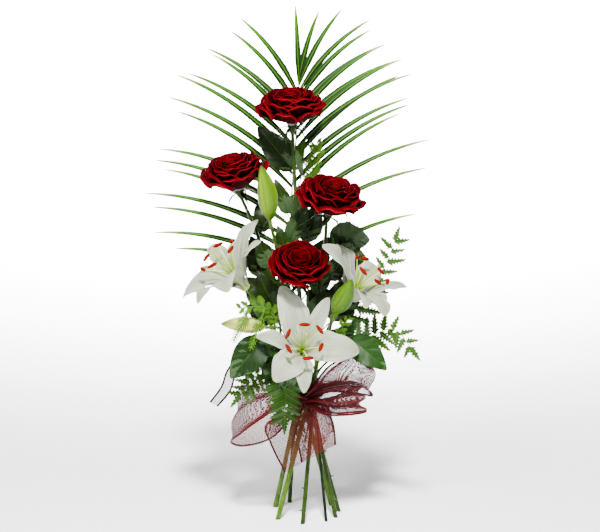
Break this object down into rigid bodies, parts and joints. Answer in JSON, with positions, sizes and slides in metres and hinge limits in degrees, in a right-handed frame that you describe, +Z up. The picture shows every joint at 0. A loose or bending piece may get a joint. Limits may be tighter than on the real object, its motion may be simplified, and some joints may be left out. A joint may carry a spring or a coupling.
{
  "type": "mixed flower bouquet",
  "caption": "Hand-tied spiral bouquet of red roses, white lilies, buds, a palm frond, ferns and broad leaves with a mesh ribbon bow, standing on its own splayed cut stems.",
  "frame": {"origin": "under the middle of the bunch's bounding box, on the surface that the cut stems stand on", "axes": "+Z up along the bunch, -Y towards its front with the lilies, +X to the right seen from the front"},
  "size_m": [0.401, 0.219, 0.7173],
  "materials": {
    "rose_petal": "velvety crimson petal",
    "rose_green": "waxy dark green stem and leaf",
    "lily_tepal": "satin white tepal with a green midrib",
    "lily_stamen": "pale green filament with rust-orange pollen",
    "lily_green": "smooth mid-green stem and leaf",
    "bud_green": "satin lime-green bud",
    "bud_cream": "satin cream bud",
    "palm_leaf": "glossy ribbed palm leaflet",
    "fern_leaf": "leathery bright green fern",
    "cedar_leaf": "scaly light green sprig",
    "broad_leaf": "glossy dark green leaf",
    "twine": "twisted natural fibre",
    "ribbon_mesh": "burgundy open mesh with wired edges"
  },
  "bodies": {
    "root": {"rose_top_bloom": "rose_petal", "rose_top_stem": "rose_green", "rose_left_bloom": "rose_petal", "rose_left_stem": "rose_green", "rose_right_bloom": "rose_petal", "rose_right_stem": "rose_green", "rose_front_bloom": "rose_petal", "rose_front_stem": "rose_green", "lily_front_tepals": "lily_tepal", "lily_front_stamens": "lily_stamen", "lily_front_stem": "lily_green", "lily_left_tepals": "lily_tepal", "lily_left_stamens": "lily_stamen", "lily_left_stem": "lily_green", "lily_right_tepals": "lily_tepal", "lily_right_stamens": "lily_stamen", "lily_right_stem": "lily_green", "bud_upright": "bud_green", "bud_right": "bud_green", "bud_left": "bud_cream", "palm_frond": "palm_leaf", "fern_high_right": "fern_leaf", "fern_low_right": "fern_leaf", "fern_left": "fern_leaf", "fern_front": "fern_leaf", "cedar_left": "cedar_leaf", "cedar_right": "cedar_leaf", "cedar_tall": "cedar_leaf", "foliage_left": "broad_leaf", "foliage_right": "broad_leaf", "tie_twine": "twine", "ribbon_bow": "ribbon_mesh"}
  },
  "joints": []
}
